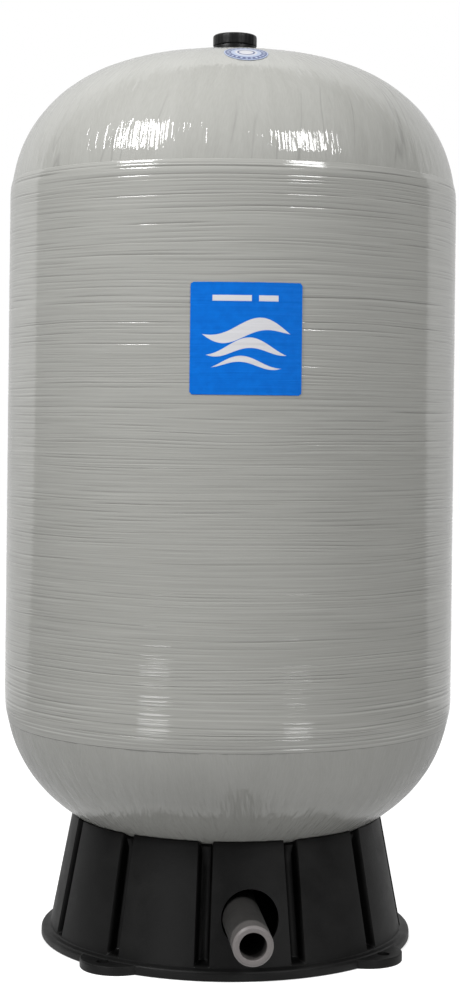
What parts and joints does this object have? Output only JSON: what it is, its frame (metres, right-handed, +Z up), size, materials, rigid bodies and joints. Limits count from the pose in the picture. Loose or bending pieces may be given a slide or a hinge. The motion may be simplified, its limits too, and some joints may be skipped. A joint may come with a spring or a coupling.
{
  "type": "diaphragm pressure tank",
  "caption": "Vertical fibreglass-wound diaphragm pressure tank on a moulded black foot, with a water outlet pipe low at the front and a capped air valve on its crown.",
  "frame": {"origin": "on the floor, at the middle of the footprint box; the tank's own axis stands 17.15 mm behind it, at x = 0, y = 0.01715", "axes": "+Z up along the tank's axis, -Y the way the outlet pipe runs, +X to the right of someone who faces the pipe's end"},
  "size_m": [0.4064, 0.4406, 0.8199],
  "materials": {
    "grey_resin": "warm grey glossy resin over wound glass strands",
    "liner_plastic": "natural polypropylene",
    "butyl_rubber": "matte butyl sheet",
    "seal_rubber": "moulded seal rubber",
    "black_plastic": "satin black moulding",
    "grey_pvc": "grey PVC, paler where the end was cut",
    "white_plastic": "plain white moulding",
    "brass": "turned brass",
    "spring_steel": "bright spring wire",
    "label_blue": "printed blue film",
    "label_pale": "pale film with a blue ring"
  },
  "bodies": {
    "tank": {"wound_shell": "grey_resin", "upper_liner": "liner_plastic", "lower_liner": "liner_plastic", "diaphragm": "butyl_rubber", "clench_ring": "white_plastic", "inlet_diffuser": "white_plastic", "port_fitting": "grey_pvc", "port_o_ring": "seal_rubber", "port_nut": "grey_pvc", "outlet_elbow": "grey_pvc", "outlet_pipe": "grey_pvc", "base_stand": "black_plastic", "air_fitting": "black_plastic", "air_fitting_o_ring": "seal_rubber", "clamp_collar": "black_plastic", "valve_stem": "brass", "valve_stem_o_ring": "seal_rubber", "core_barrel": "brass", "core_barrel_seal": "white_plastic", "core_spring": "spring_steel", "front_label": "label_blue", "top_label": "label_pale"},
    "pin": {"core_pin": "brass", "core_cup_seal": "seal_rubber"},
    "cap_seal": {"valve_cap_seal": "seal_rubber"},
    "cap": {"valve_cap": "black_plastic"},
    "cover_seal": {"valve_cover_seal": "seal_rubber"},
    "cover": {"valve_cover": "black_plastic"}
  },
  "joints": [
    {"name": "cover_lift", "type": "slide", "parent": "tank", "child": "cover_seal", "axis": [0, 0, 1], "range_m": [0, 0.006]},
    {"name": "cover_turn", "type": "hinge", "parent": "cover_seal", "child": "cover", "pos_m": [0, 0.01715, 0.81], "axis": [0, 0, 1], "range_deg": [0, 720]},
    {"name": "cap_lift", "type": "slide", "parent": "tank", "child": "cap_seal", "axis": [0, 0, 1], "range_m": [0, 0.00476]},
    {"name": "cap_turn", "type": "hinge", "parent": "cap_seal", "child": "cap", "pos_m": [0, 0.01715, 0.81], "axis": [0, 0, 1], "range_deg": [0, 2160]},
    {"name": "pin_press", "type": "slide", "parent": "tank", "child": "pin", "axis": [0, 0, -1], "range_m": [0, 0.0015], "stiffness_N_per_m": 1500, "springref_m": -0.001, "deforming": ["core_spring"]}
  ],
  "couplings": [
    {"joint": "cover_turn", "follows": "cover_lift", "rad_per_m": 2094.4},
    {"joint": "cap_turn", "follows": "cap_lift", "rad_per_m": 7915.8}
  ]
}
